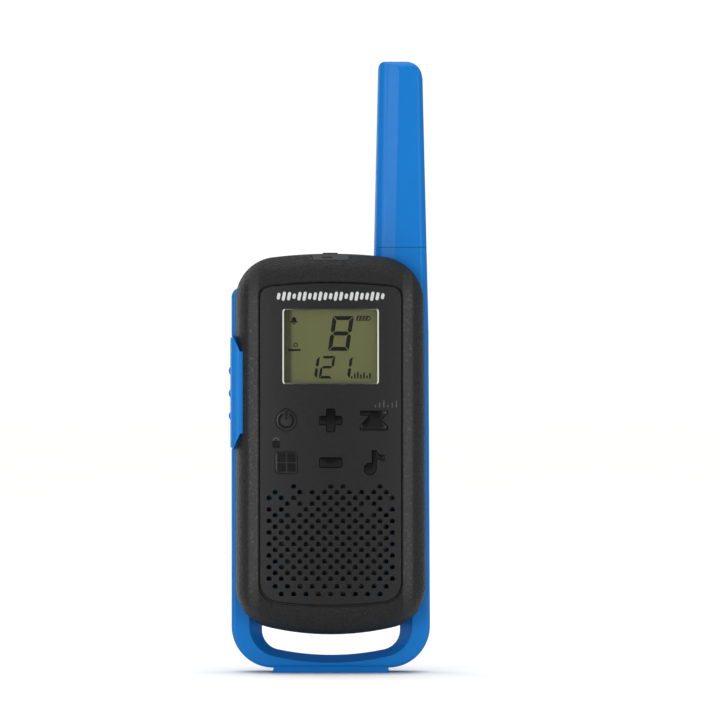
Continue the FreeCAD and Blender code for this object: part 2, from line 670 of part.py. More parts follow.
def display_gasket():
    outer = framed(WINDOW[0] / 2 + 0.9, WINDOW[1] / 2 + 0.9, -14.98, -14.6, 1.2)
    return outer.cut(framed(WINDOW[0] / 2 - 0.3, WINDOW[1] / 2 - 0.3, -16, -14, 0.6))


def lcd_glass():
    return box((-15.0, 15.0), (-14.58, -12.9), (76.6, 101.4))


def lcd_backlight():
    return box((-15.0, 15.0), (-12.85, -11.1), (79.0, 101.4))


def zebra_strip():
    return box((-13.5, 13.5), (-12.85, -11.02), (76.9, 78.6))


# ---- keypad -------------------------------------------------------------------------------
def keypad_mat():
    web = rounded_box((-15.2, 15.2), (-12.6, -11.9), (53.7, 74.2), 1.5, Y_AXIS)
    plungers = [rod(2.0, V(x, KEY_BACK + 0.05, z), V(x, -11.6, z))
                for x in KEY_COLUMNS for z in KEY_ROWS]
    return fuse(web, *plungers)


def key_domes():
    domes = []
    for x in KEY_COLUMNS:
        for z in KEY_ROWS:
            profile = [(0, 0), (2.2, 0), (2.2, 0.08), (1.5, 0.28), (0, 0.36)]
            domes.append(turned(profile, V(x, BOARD_FRONT_Y, z), V(0, -1, 0)))
    return Part.makeCompound(domes)


# ---- electronics --------------------------------------------------------------------------
def main_board():
    board = rounded_box((-20.0, 20.0), (BOARD_FRONT_Y, BOARD_BACK_Y), (54.0, 111.0), 2.0, Y_AXIS)
    cuts = [rod(3.0, V(x, -12, z), V(x, -9, z)) for x, z in SCREWS]
    cuts += [rod(1.0, V(x, -12, z), V(x, -9, z)) for x, z in BOARD_SCREWS]
    cuts.append(box((JACK[0] - 3.2, JACK[0] + 3.2), (-12, -9), (101.4, 112)))
    cuts.append(box((USB[0] - 4.0, USB[0] + 4.0), (-12, -9), (106.8, 112)))
    cuts.append(box((12.0, 21.0), (-12, -9), (105.0, 112)))
    return board.cut(Part.makeCompound(cuts))


def rf_shield():
    outer = rounded_box((-13.5, 13.5), (BOARD_BACK_Y, -7.6), (81.5, 98.5), 0.8, Y_AXIS)
    return outer.cut(box((-13.2, 13.2), (BOARD_BACK_Y - 1, -7.9), (81.8, 98.2)))


def board_chips():
    """Processor, memory, crystal, power parts and a few coils, on the back of the board."""
    sizes = [(-6.0, 72.0, 7.0, 7.0, 1.0), (4.5, 73.5, 5.0, 4.0, 0.9), (10.5, 72.0, 3.2, 5.0, 1.2),
             (-13.0, 72.5, 3.0, 3.0, 1.5), (-4.0, 62.5, 4.0, 4.0, 1.8), (4.0, 63.0, 6.0, 4.0, 1.1),
             (12.0, 63.0, 3.0, 3.0, 1.6), (-12.5, 63.0, 5.0, 3.0, 1.0),
             (-15.0, 90.0, 1.8, 3.6, 1.0),
             (16.0, 90.0, 2.4, 4.0, 1.4), (2.0, 102.5, 3.0, 3.0, 1.2), (12.5, 102.0, 2.0, 4.0, 1.2)]
    chips = [box((x - w / 2, x + w / 2), (BOARD_BACK_Y, BOARD_BACK_Y + h), (z - d / 2, z + d / 2))
             for x, z, w, d, h in sizes]
    return Part.makeCompound(chips)


def headset_jack():
    x, y = JACK
    body = box((x - 2.9, x + 2.9), (y - 2.4, y + 2.4), (101.7, 111.4))
    collar = rod(2.4, V(x, y, 111.4), V(x, y, 112.9))
    bore = rod(JACK_BORE_R, V(x, y, 102.9), V(x, y, 113))
    return fuse(body, collar).cut(bore)


def usb_socket():
    x, y = USB
    can = rounded_box((x - 3.7, x + 3.7), (y - 1.3, y + 1.3), (107.0, 112.9), 0.7, Z_AXIS)
    hollow = rounded_box((x - 3.4, x + 3.4), (y - 1.0, y + 1.0), (108.0, 113), 0.5, Z_AXIS)
    tongue = box((x - 2.3, x + 2.3), (y - 0.3, y + 0.3), (107.5, 112.0))
    return fuse(can.cut(hollow), tongue)


def ptt_switch():
    body = box((-19.8, -15.8), (BOARD_BACK_Y, -7.4), (73.8, 79.8))
    plunger = box((-20.1, -19.8), (-9.5, -8.0), (75.4, 78.2))
    return fuse(body, plunger)


# ---- sound --------------------------------------------------------------------------------
def on_speaker_axis(profile):
    """Turned about the speaker's axis: profile is [(radius, y), ...]."""
    return turned(profile, V(0, 0, SPEAKER_Z), Y_AXIS)


def grille_cloth():
    disc = rod(12.2, V(0, FRONT_Y, SPEAKER_Z), V(0, -15.0, SPEAKER_Z))
    return disc.common(crown(ROOF + 0.05)).cut(crown(ROOF + 0.3))


def speaker_gasket():
    return on_speaker_axis([(12.3, -15.4), (13.9, -15.4), (13.9, -14.97), (12.3, -14.97)])


def speaker_basket():
    return on_speaker_axis([(12.6, -14.95), (13.9, -14.95), (13.9, -14.2), (12.8, -14.0),
                            (8.6, -11.4), (8.6, -10.9), (7.6, -10.9), (7.6, -11.6),
                            (12.2, -14.2), (12.6, -14.2)])


def speaker_cone():
    return on_speaker_axis([(12.5, -14.9), (12.5, -14.6), (11.4, -14.4), (4.4, -12.6),
                            (3.0, -13.6), (0, -14.2), (0, -14.4), (3.2, -13.8), (4.5, -12.9),
                            (11.2, -14.6), (11.8, -14.9)])


def speaker_magnet():
    return on_speaker_axis([(0, -11.5), (7.5, -11.5), (7.5, -8.6), (7.2, -8.3), (0, -8.3)])


def lead(points, wire_r):
    """A wire along straight runs joined by tangent arcs, each as large as its runs allow."""
    points = [V(*p) for p in points]
    edges, at = [], points[0]
    for before, corner, after in zip(points, points[1:], points[2:]):
        arrive, leave = corner - before, after - corner
        half_turn = arrive.getAngle(leave) / 2
        reach = 0.45 * min(arrive.Length, leave.Length)
        start = corner - V(arrive).normalize() * reach
        end = corner + V(leave).normalize() * reach
        inward = (V(leave).normalize() - V(arrive).normalize()).normalize()
        radius = reach / math.tan(half_turn)
        centre = corner + inward * (radius / math.cos(half_turn))
        edges += [Part.LineSegment(at, start).toShape(),
                  Part.Arc(start, centre - inward * radius, end).toShape()]
        at = end
    edges.append(Part.LineSegment(at, points[-1]).toShape())
    path = Part.Wire(edges)
    first = (points[1] - points[0]).normalize()
    ring = Part.Wire(Part.makeCircle(wire_r, points[0], first))
    return path.makePipeShell([ring], True, False)


def speaker_lead_route(x):
    return [(x, -13.1, 48.6), (x, -9.4, 50.6), (x + 0.6, -8.3, 55.0), (x + 0.3, -9.4, 58.4),
            (x, -9.5, 60.2)]


def microphone():
    x, z = MICROPHONE
    return rod(3.0, V(x, -14.35, z), V(x, -12.3, z))


def microphone_boot():
    x, z = MICROPHONE
    cup = rod(3.7, V(x, -14.9, z), V(x, -12.5, z))
    return cup.cut(rod(3.05, V(x, -14.4, z), V(x, -12, z))).cut(
        rod(1.0, V(x, -16, z), V(x, -14, z)))


# ---- power --------------------------------------------------------------------------------
CELLS = {"battery_cell_1": (-1, True), "battery_cell_2": (0, False), "battery_cell_3": (1, True)}
SPRING_BASE_Z = (16.65, 64.95)


def battery_cell(name):
    """A AAA cell: can, shoulder and button."""
    slot, button_up = CELLS[name]
    profile = [(0, 0), (CELL_R - 0.4, 0), (CELL_R, 0.4), (CELL_R, 42.9), (CELL_R - 0.5, 43.4),
               (1.9, 43.4), (1.9, CELL_LENGTH), (0, CELL_LENGTH)]
    x = slot * CELL_PITCH
    if button_up:
        return turned(profile, V(x, CELL_Y, SPRING_BASE_Z[1] - 0.15 - CELL_LENGTH), Z_AXIS)
    return turned(profile, V(x, CELL_Y, SPRING_BASE_Z[0] + 0.15 + CELL_LENGTH), V(0, 0, -1))


def battery_springs():
    """One spring under the flat end of each cell."""
    length, clear = 2.85, 0.3
    springs = []
    for slot, button_up in CELLS.values():
        low = SPRING_BASE_Z[0] + clear if button_up else SPRING_BASE_Z[1] - clear - length
        springs.append(coil(2.9, 0.28, 0.95, length, V(slot * CELL_PITCH, CELL_Y, low), Z_AXIS))
    return Part.makeCompound(springs)


def battery_plates():
    plates = []
    for slot in (-1, 0, 1):
        x = slot * CELL_PITCH
        for z in (BAY_Z[0] + 0.05, BAY_Z[1] - 0.45):
            plates.append(box((x - 4.6, x + 4.6), (-3.4, 5.3), (z, z + 0.4)))
    return Part.makeCompound(plates)


def battery_door():
    back, front = REAR_Y, REAR_Y - DOOR_THICK
    plate = rounded_box((-DOOR_HALF_W, DOOR_HALF_W), (front, back), DOOR_Z, 1.25, Y_AXIS)
    edge = [e for e in plate.Edges if e.BoundBox.YMin > back - 0.01]
    plate = plate.makeFillet(0.3, edge)
    adds = [box((-2.9, 2.9), (6.2, front + 0.2), (65.2, DOOR_Z[1])),
            polygon_prism([(6.2, 66.5), (7.0, 66.5), (7.0, 67.9), (6.6, 67.9)], -2.9, 2.9, "x")]
    for side in (-1, 1):
        x = side * DOOR_TAB_X
        adds.append(box((x - 1.9, x + 1.9), (5.9, front + 0.2), (DOOR_Z[0], 19.4)))
        adds.append(box((x - 1.9, x + 1.9), (5.9, 6.9), (15.7, DOOR_Z[0] + 0.2)))
        adds.append(box((x - 0.4, x + 0.4), (6.5, front + 0.2), (22.0, 60.0)))
    door = fuse(plate, *adds)
    slots = [box((side * 4.1 - 0.35, side * 4.1 + 0.35), (0, 12), (59.5, 70)) for side in (-1, 1)]
    scoop = Part.makeCylinder(9.0, 6.4, V(-3.2, back + 7.9, 62.8), X_AXIS)
    ribs = [rounded_box((-12.5, 12.5), (back - 0.35, back + 1), (z - 0.5, z + 0.5), 0.45, Y_AXIS)
            for z in (24.0, 27.0, 30.0)]
    return door.cut(Part.makeCompound(slots)).cut(scoop).cut(Part.makeCompound(ribs))


# ---- push-to-talk, port cover, belt clip --------------------------------------------------
def ptt_button():
    roll = 2.6
    corner = V(PTT_OUT_X + roll, PTT_FRONT_Y + roll, PTT_Z[0])
    start = V(PTT_OUT_X + roll, PTT_FRONT_Y, PTT_Z[0])
    middle = corner + V(-roll, -roll, 0) * math.sqrt(0.5)
    end = V(PTT_OUT_X, PTT_FRONT_Y + roll, PTT_Z[0])
    inner_front, inner_back = V(PTT_IN_X, PTT_FRONT_Y, PTT_Z[0]), V(PTT_IN_X, PTT_BACK_Y, PTT_Z[0])
    outer_back = V(PTT_OUT_X, PTT_BACK_Y, PTT_Z[0])
    edges = [Part.makeLine(inner_front, start), Part.Arc(start, middle, end).toShape(),
             Part.makeLine(end, outer_back), Part.makeLine(outer_back, inner_back),
             Part.makeLine(inner_back, inner_front)]
    bar = Part.Face(Part.Wire(edges)).extrude(V(0, 0, PTT_Z[1] - PTT_Z[0]))
    ends = [e for e in bar.Edges if e.BoundBox.ZLength < 0.01 and e.CenterOfMass.x < PTT_IN_X - 0.5]
    bar = bar.makeFillet(0.9, ends)
    kept = under_skin(PTT_SKIN + PTT_GAP)
    for end, inward in ((PTT_Z[1], -1), (PTT_Z[0], 1)):
        shoulder = end + inward * PTT_SLANT
        outer, inner = -25.9 - PTT_TRAVEL - PTT_GAP, -24.0 - PTT_TRAVEL - PTT_GAP
        outline = [(outer, end - inward), (outer, end), (inner, shoulder), (-22.0, shoulder),
                   (-22.0, end - inward)]
        bar = bar.cut(polygon_prism(outline, PTT_FRONT_Y - 1, PTT_SKIN_Y).cut(kept))
    rib_z = [sum(PTT_Z) / 2 - 0.2 + i * PTT_RIB_PITCH for i in (-1, 0, 1)]
    ribs = []
    for z in rib_z:
        rib = rod(1.6, V(-26.35, -12.0, z), V(-26.35, -1.6, z))
        ribs.append(rib.makeFillet(0.5, [e for e in rib.Edges
                                         if isinstance(e.Curve, Part.Circle)]))
    return fuse(bar, *ribs, ptt_stem(0))


def port_cover():
    """Rubber flap over the two sockets, with a nail lip and a bung for each socket."""
    skin = pillow(0, 0, FRONT_ROLL_R).common(port_cover_plan(0))
    skin = skin.cut(pillow(COVER_THICK - 0.08, COVER_THICK - 0.08,
                           FRONT_ROLL_R - COVER_THICK))
    skin = skin.cut(rod(0.42, V(-2.3, -15.3, 113.95), V(0.4, -15.3, 113.95)))
    lip = rounded_box((-2.2, 1.9), (-12.6, -11.6), (114.0, 115.25), 0.4, Z_AXIS)
    jack_bung = rod(1.9, V(JACK[0], JACK[1], 113.1), V(JACK[0], JACK[1], 114.2))
    usb_bung = rounded_box((USB[0] - 3.2, USB[0] + 3.2), (USB[1] - 0.9, USB[1] + 0.9),
                           (113.1, 114.2), 0.6, Z_AXIS)
    return fuse(skin, lip, jack_bung, usb_bung)


def clip_base():
    low, high = CLIP_BASE_Z
    block = rounded_box((-CLIP_BASE_HALF_W, CLIP_BASE_HALF_W), CLIP_BASE_Y, CLIP_BASE_Z, 2.0,
                        Y_AXIS)
    gap = 0.15
    slot_top = RAIL_Z[1] + gap
    neck = box((-RAIL_NECK_HALF_W - gap, RAIL_NECK_HALF_W + gap), (9.0, 10.4), (low - 1, slot_top))
    head = box((-RAIL_HEAD_HALF_W - gap, RAIL_HEAD_HALF_W + gap), (10.25, 11.75),
               (low - 1, slot_top))
    y, z = CLIP_PIN
    ears = []
    for side in (-1, 1):
        x = sorted((side * 7.4, side * 9.8))
        cheek = box(x, (CLIP_BASE_Y[1] - 0.5, y), (z - 2.2, z + 2.2))
        ears += [cheek, rod(2.2, V(x[0], y, z), V(x[1], y, z))]
    body = fuse(block.cut(neck).cut(head), *ears)
    return body.cut(rod(CLIP_PIN_R + 0.02, V(-20, y, z), V(20, y, z)))


def clip_pin():
    y, z = CLIP_PIN
    return rod(CLIP_PIN_R, V(-9.7, y, z), V(9.7, y, z))


def clip_spring():
    """Torsion spring on the pin: one leg on the base, one behind the arm."""
    y, z = CLIP_PIN
    turns = coil(1.5, 0.24, 0.62, 4.96, V(-2.48, y, z), X_AXIS)
    base_leg = rod(0.24, V(-2.45, y - 1.5, z), V(-2.45, y - 1.5, z + 7))
    arm_leg = rod(0.24, V(2.45, y + 1.5, z), V(2.45, y + 1.5, z + 6))
    return Part.makeCompound([turns, base_leg, arm_leg])


def clip_arm():
    y, z = CLIP_PIN
    inner, outer = CLIP_ARM_Y
    profile = [(outer - 0.6, 109.6), (outer, 107.5), (outer, 84.0), (17.7, 76.0), (12.6, 68.8),
               (11.2, 68.3), (9.8, 69.3), (10.2, 70.6), (11.4, 70.7), (15.9, 77.0),
               (inner, 85.0), (inner, 109.4)]
    plate = polygon_prism(profile, -CLIP_ARM_HALF_W, CLIP_ARM_HALF_W, "x")
    plan = rounded_box((-CLIP_ARM_HALF_W, CLIP_ARM_HALF_W), (0, 30), (67.8, 110), 4.0, Y_AXIS)
    plate = plate.common(plan)
    knuckles = []
    for side in (-1, 1):
        x = sorted((side * 3.1, side * 7.1))
        knuckles += [rod(1.6, V(x[0], y, z), V(x[1], y, z)),
                     box(x, (y, inner + 0.3), (z - 1.6, z + 1.6))]
    arm = fuse(plate, *knuckles)
    return arm.cut(rod(CLIP_PIN_R + 0.06, V(-20, y, z), V(20, y, z)))


# ---- fasteners and seal -------------------------------------------------------------------
def housing_seal():
    beside_button = box((-30, PTT_FLOOR_X + 1.5), (FRONT_Y, PART_Y + 1),
                        (PTT_Z[0] - 1.8, PTT_Z[1] + 1.8))
    return seal_ring(0).cut(beside_button)


def screw(x, z, head_y, tip_y, shank_r, head_r, head_h):
    """A pan-head screw driven along -Y, with a cross recess."""
    length = head_y - tip_y
    body = turned([(0, 0), (head_r * 0.7, 0), (head_r, head_h * 0.4), (head_r, head_h),
                   (shank_r, head_h), (shank_r, length + head_h - 0.8), (0.3, length + head_h),
                   (0, length + head_h)], V(x, head_y + head_h, z), V(0, -1, 0))
    width, reach, depth = head_r * 0.16, head_r * 0.55, head_h * 0.6
    top = head_y + head_h
    cross = [box((x - width, x + width), (top - depth, top + 1), (z - reach, z + reach)),
             box((x - reach, x + reach), (top - depth, top + 1), (z - width, z + width))]
    return body.cut(Part.makeCompound(cross))


def housing_screws():
    return Part.makeCompound([screw(x, z, 4.05, SCREW_TIP_Y, 1.06, 2.05, 1.5) for x, z in SCREWS])


def board_screws():
    return Part.makeCompound([screw(x, z, BOARD_BACK_Y + 0.02, BOARD_SCREW_TIP_Y, 0.78, 1.6, 0.9)
                              for x, z in BOARD_SCREWS])


# ---- build --------------------------------------------------------------------------------
PARTS = {
    "front_housing": front_housing, "rear_housing": rear_housing,
    "antenna_sheath": antenna_sheath, "antenna_coil": antenna_coil,
    "antenna_core": antenna_core, "antenna_feed": antenna_feed,
    "display_window": display_window, "display_gasket": display_gasket,
    "lcd_glass": lcd_glass, "lcd_backlight": lcd_backlight, "zebra_strip": zebra_strip,
    "keypad_mat": keypad_mat, "key_domes": key_domes,
    "main_board": main_board, "rf_shield": rf_shield, "board_chips": board_chips,
    "headset_jack": headset_jack, "usb_socket": usb_socket, "ptt_switch": ptt_switch,
    "grille_cloth": grille_cloth, "speaker_gasket": speaker_gasket,
    "speaker_basket": speaker_basket, "speaker_cone": speaker_cone,
    "speaker_magnet": speaker_magnet, "microphone": microphone,
    "microphone_boot": microphone_boot,
    "battery_springs": battery_springs, "battery_plates": battery_plates,
    "battery_door": battery_door, "ptt_button": ptt_button, "port_cover": port_cover,
    "clip_base": clip_base, "clip_arm": clip_arm, "clip_pin": clip_pin,
    "clip_spring": clip_spring, "housing_seal": housing_seal,
    "housing_screws": housing_screws, "board_screws": board_screws,
    "speaker_lead_red": lambda: lead(speaker_lead_route(3.0), 0.45),
    "speaker_lead_black": lambda: lead(speaker_lead_route(-3.0), 0.45),
}
for cell_name in CELLS:
    PARTS[cell_name] = lambda name=cell_name: battery_cell(name)
for key_name in KEYS:
    PARTS[key_name] = lambda name=key_name: key(name)


def main():
    os.makedirs("parts", exist_ok=True)
    for name, make in PARTS.items():
        shape = make()
        solids = shape.Solids
        if not solids or not shape.isValid():
            print("PROBLEM", name, "solids", len(solids), "valid", shape.isValid())
        if len(solids) == 1:
            shape = solids[0]
        shape.exportStep(f"parts/{name}.step")


if __name__ == "__main__":
    main()
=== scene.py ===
"""How the two-way radio looks: finishes for its moulded, metal and electronic pieces, the
display's segments, printed and raised marks, the light and the camera. Metres throughout."""
import math

import bpy
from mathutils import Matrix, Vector
from mathutils.bvhtree import BVHTree


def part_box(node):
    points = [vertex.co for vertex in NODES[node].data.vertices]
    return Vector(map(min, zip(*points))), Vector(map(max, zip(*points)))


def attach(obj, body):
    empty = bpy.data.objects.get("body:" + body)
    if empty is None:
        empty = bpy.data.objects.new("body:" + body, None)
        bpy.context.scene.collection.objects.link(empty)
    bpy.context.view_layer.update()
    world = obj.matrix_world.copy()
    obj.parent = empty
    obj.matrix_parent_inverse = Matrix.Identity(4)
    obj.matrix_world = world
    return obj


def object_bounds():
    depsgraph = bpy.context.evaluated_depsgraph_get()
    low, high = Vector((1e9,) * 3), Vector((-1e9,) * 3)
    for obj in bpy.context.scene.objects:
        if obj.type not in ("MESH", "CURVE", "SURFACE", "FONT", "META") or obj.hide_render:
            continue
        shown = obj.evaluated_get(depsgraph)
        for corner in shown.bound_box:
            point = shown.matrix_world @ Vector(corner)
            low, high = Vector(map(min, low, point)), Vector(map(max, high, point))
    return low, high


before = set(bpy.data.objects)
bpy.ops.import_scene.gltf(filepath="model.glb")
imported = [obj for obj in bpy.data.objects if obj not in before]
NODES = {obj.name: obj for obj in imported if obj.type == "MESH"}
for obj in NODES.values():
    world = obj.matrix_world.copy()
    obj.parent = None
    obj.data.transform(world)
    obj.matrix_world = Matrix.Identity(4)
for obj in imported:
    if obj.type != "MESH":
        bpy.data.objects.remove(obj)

MM = 0.001
cad_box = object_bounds()

FRONT_Y = cad_box[0].y
CROWN_RADIUS = 180 * MM                   # of the front face, from side to side
PANEL_HALF_WIDTH = 19.8 * MM              # a tenth of a millimetre outside the recessed panel
PANEL_Z = (18.4 * MM, 107.4 * MM)
# The window rim's upright sides, out beyond this, are painted brighter as a highlight.
RIM_HIGHLIGHT_FROM = 12.6 * MM                # the window rim's upright sides lie farther out
SEGMENTS = {"8": "abcdefg", "1": "bc", "2": "abdeg"}
SLANT = math.tan(math.radians(8.4))       # lean of the display's digits


# ---- shader building ----------------------------------------------------------------------
def linear(hex_colour, alpha=1.0):
    """An sRGB hex colour as linear RGBA."""
    channels = [int(hex_colour[i:i + 2], 16) / 255 for i in (0, 2, 4)]
    values = [c / 12.92 if c <= 0.04045 else ((c + 0.055) / 1.055) ** 2.4 for c in channels]
    return (*values, alpha)


def add(tree, kind, inputs=None, **settings):
    """Adds a node. inputs gives each socket a value or a link, settings its own properties."""
    made = tree.nodes.new("ShaderNode" + kind)
    for key, value in settings.items():
        setattr(made, key, value)
    for key, value in (inputs or {}).items():
        if isinstance(value, bpy.types.NodeSocket):
            tree.links.new(value, made.inputs[key])
        else:
            made.inputs[key].default_value = value
    return made


def blank(name, **shader):
    """A material with its tree and its Principled shader, set as given."""
    made = bpy.data.materials.new(name)
    made.use_nodes = True
    tree = made.node_tree
    surface = tree.nodes["Principled BSDF"]
    for key, value in shader.items():
        surface.inputs[key.replace("_", " ")].default_value = value
    return made, tree, surface


def along_axes(tree):
    """The x, y and z of the point being shaded, in the radio's own frame."""
    return add(tree, "SeparateXYZ", {"Vector": add(tree, "TexCoord").outputs["Object"]}).outputs


def grain(tree, size_mm, detail=2.0, roughness=0.5):
    """A pattern of blobs about size_mm across, fixed to the piece."""
    spot = add(tree, "TexCoord").outputs["Object"]
    return add(tree, "TexNoise", {"Vector": spot, "Scale": 1 / (size_mm * MM),
                                  "Detail": detail, "Roughness": roughness}).outputs["Fac"]


def all_of(tree, shares):
    """Where every one of several 0 to 1 shares is high."""
    whole = shares[0]
    for share in shares[1:]:
        whole = add(tree, "Math", {0: share, 1: whole}, operation="MULTIPLY").outputs[0]
    return whole


def shades(tree, pattern, dark, light):
    """Two colours blended by a pattern; each is a hex value or a link."""
    ends = [linear(c) if isinstance(c, str) else c for c in (dark, light)]
    return add(tree, "Mix", {"Factor": pattern, 6: ends[0], 7: ends[1]},
               data_type="RGBA").outputs[2]


def pigment(tree, surface, pattern, dark, light):
    """Colours the surface with two shades that follow a pattern."""
    tree.links.new(shades(tree, pattern, dark, light), surface.inputs["Base Color"])


def gloss(tree, surface, pattern, low, high):
    """Lets the roughness wander between two values with a pattern."""
    rough = add(tree, "MapRange", {"Value": pattern, "To Min": low, "To Max": high})
    tree.links.new(rough.outputs["Result"], surface.inputs["Roughness"])


def relief(tree, surface, pattern, depth_mm, strength):
    """Raises a pattern from the surface by depth_mm."""
    raised_up = add(tree, "Bump", {"Height": pattern, "Distance": depth_mm * MM,
                                   "Strength": strength})
    tree.links.new(raised_up.outputs["Normal"], surface.inputs["Normal"])


# ---- materials ----------------------------------------------------------------------------
def panel_share(tree, xyz, across):
    """1 on the recessed panel and 0 on the rim: below the crowned face, inside its outline."""
    crown = add(tree, "Math", {0: across, 1: across}, operation="MULTIPLY").outputs[0]
    crown = add(tree, "Math", {0: crown, 1: 1 / (2 * CROWN_RADIUS), 2: FRONT_Y},
                operation="MULTIPLY_ADD").outputs[0]
    sunk = add(tree, "Math", {0: xyz["Y"], 1: crown}, operation="SUBTRACT").outputs[0]
    half_depth = 0.3 * MM
    tests = ((sunk, half_depth, "GREATER_THAN"), (across, PANEL_HALF_WIDTH, "LESS_THAN"),
             (xyz["Z"], PANEL_Z[1], "LESS_THAN"), (xyz["Z"], PANEL_Z[0], "GREATER_THAN"))
    return all_of(tree, [add(tree, "Math", {0: value, 1: limit}, operation=test).outputs[0]
                         for value, limit, test in tests])


def highlight_crest_share(tree, xyz, across):
    """1 along the rim's crest to either side of the panel, fading towards head and foot: where
    the painted highlight is laid.
    """
    fades = ((across, 19.5, 20.0), (across, 22.8, 22.0), (xyz["Z"], 15.0, 27.0),
             (xyz["Z"], 112.0, 102.0))
    return all_of(tree, [add(tree, "MapRange", {"Value": value, "From Min": start * MM,
                                                "From Max": end * MM}).outputs["Result"]
                         for value, start, end in fades])


def spark_textured_abs():
    """Black ABS from a spark-eroded mould: matt and pebbly on the rim, finer on the recessed
    panel. Along the rim's crest a painted highlight makes it paler, with bright flecks painted
    in as glints. Sparks leave 0.2 mm pits; the rim's are drawn 0.5 mm wide so that they show."""
    made, tree, surface = blank("spark_textured_abs", IOR=1.53, Specular_IOR_Level=0.25)
    xyz = along_axes(tree)
    across = add(tree, "Math", {0: xyz["X"]}, operation="ABSOLUTE").outputs[0]
    panel = panel_share(tree, xyz, across)
    coarse = add(tree, "MapRange", {"Value": grain(tree, 0.55, 3.0, 0.6), "From Min": 0.36,
                                    "From Max": 0.66}).outputs["Result"]
    fine = add(tree, "MapRange", {"Value": grain(tree, 0.3), "To Min": 0.42,
                                  "To Max": 0.58}).outputs["Result"]
    height = add(tree, "Mix", {"Factor": panel, "A": coarse, "B": fine}).outputs[0]
    relief(tree, surface, height, 0.22, 0.9)
    # Painted highlight: the crest band is coloured paler, towards 4A4A4B, with bright flecks as
    # glints where the side lamps catch it.
    painted_glint_specks = add(tree, "MapRange", {"Value": grain(tree, 0.7), "From Min": 0.6,
                                    "From Max": 0.68, "To Min": 0.42,
                                    "To Max": 0.95}).outputs["Result"]
    painted_highlight = all_of(tree, [highlight_crest_share(tree, xyz, across), painted_glint_specks])
    pigment(tree, surface, painted_highlight, shades(tree, coarse, "09090A", "101011"), "4A4A4B")
    rim = add(tree, "MapRange", {"Value": coarse, "To Min": 0.5, "To Max": 0.4})
    rough = add(tree, "Mix", {"Factor": panel, "A": rim.outputs["Result"], "B": 0.34})
    tree.links.new(rough.outputs[0], surface.inputs["Roughness"])
    return made


def satin_abs(name, dark, light, speck_mm=0.3):
    """Coloured ABS from a finely blasted mould: even satin with a soft, wide highlight."""
    made, tree, surface = blank(name, IOR=1.53, Specular_IOR_Level=0.16)
    relief(tree, surface, grain(tree, speck_mm), 0.03, 0.35)
    drift = add(tree, "MapRange", {"Value": grain(tree, 14.0), "To Min": 0.2, "To Max": 0.8})
    pigment(tree, surface, drift.outputs["Result"], dark, light)
    gloss(tree, surface, grain(tree, 3.0), 0.34, 0.43)
    return made


def lacquered_silicone(name, dark, light):
    """Silicone keys with a hard clear coat: dark, with a soft glint along their edges."""
    made, tree, surface = blank(name, Roughness=0.24, IOR=1.5, Specular_IOR_Level=0.15)
    relief(tree, surface, grain(tree, 0.5), 0.01, 0.3)
    pigment(tree, surface, grain(tree, 2.0), dark, light)
    return made


def matt_elastomer(name="matt_elastomer", dark="1B1B1C", light="252526"):
    """Soft black TPE: no highlight to speak of, a dusty bloom."""
    made, tree, surface = blank(name, Roughness=0.62, IOR=1.5, Specular_IOR_Level=0.35)
    relief(tree, surface, grain(tree, 0.35, 3.0), 0.04, 0.5)
    pigment(tree, surface, grain(tree, 4.0), dark, light)
    return made


def cast_acrylic():
    """The display's clear window: polished, with faint wipe marks in its gloss."""
    made, tree, surface = blank("cast_acrylic", IOR=1.49, Transmission_Weight=1.0,
                                Specular_IOR_Level=0.12, Base_Color=linear("F4F6F2"))
    gloss(tree, surface, grain(tree, 5.0, 4.0), 0.02, 0.07)
    return made


def cut_acrylic():
    """The window's polished edge: grey, with a painted highlight down the sides, where the side
    lamps reflect in it."""
    made, tree, surface = blank("cut_acrylic", IOR=1.49)
    across = add(tree, "Math", {0: along_axes(tree)["X"]}, operation="ABSOLUTE").outputs[0]
    upright = add(tree, "Math", {0: across, 1: RIM_HIGHLIGHT_FROM},
                  operation="GREATER_THAN").outputs[0]
    # Painted highlight: the upright sides are coloured bright (C4C5BA), the top and bottom
    # grey.
    pigment(tree, surface, upright, "5E5F54", "C4C5BA")
    gloss(tree, surface, grain(tree, 2.0), 0.15, 0.25)
    return made


def reflective_lcd():
    """Reflective liquid-crystal glass: grey-olive, mottled very slightly by its diffuser, with
    a painted shadow down its left edge, where the window's frame shades the set-back glass."""
    made, tree, surface = blank("reflective_lcd", Roughness=0.5, IOR=1.5,
                                Specular_IOR_Level=0.15)
    painted_shadow_ends = (-11.2 * MM, -10.1 * MM)
    inside = add(tree, "MapRange", {"Value": along_axes(tree)["X"], "From Min": painted_shadow_ends[0],
                                    "From Max": painted_shadow_ends[1]},
                 interpolation_type="SMOOTHSTEP").outputs["Result"]
    # Painted shadow: the left margin is coloured darker (4A4C2C) for the window frame's shade.
    pigment(tree, surface, inside, "4A4C2C",
            shades(tree, grain(tree, 0.4, 3.0), "787A4C", "808253"))
    return made


def segment_ink():
    """A switched-on display segment: near-black with an olive cast, slightly uneven."""
    made, tree, surface = blank("segment_ink", Roughness=0.8, Specular_IOR_Level=0.02)
    pigment(tree, surface, grain(tree, 0.8), "030401", "090A02")
    return made


def pad_print(name, dark, light):
    """Pad-printed ink: thin, flat and faintly mottled."""
    made, tree, surface = blank(name, Roughness=0.45)
    pigment(tree, surface, grain(tree, 0.3, 3.0), dark, light)
    relief(tree, surface, grain(tree, 0.15), 0.01, 0.4)
    return made


def milky_acrylic():
    """Moulded light guide: white, slightly see-through, glossy."""
    made, tree, surface = blank("milky_acrylic", Roughness=0.25, IOR=1.49,
                                Subsurface_Weight=0.2, Subsurface_Scale=1.0 * MM)
    pigment(tree, surface, grain(tree, 1.5), "C9CBC2", "DDDFD6")
    return made


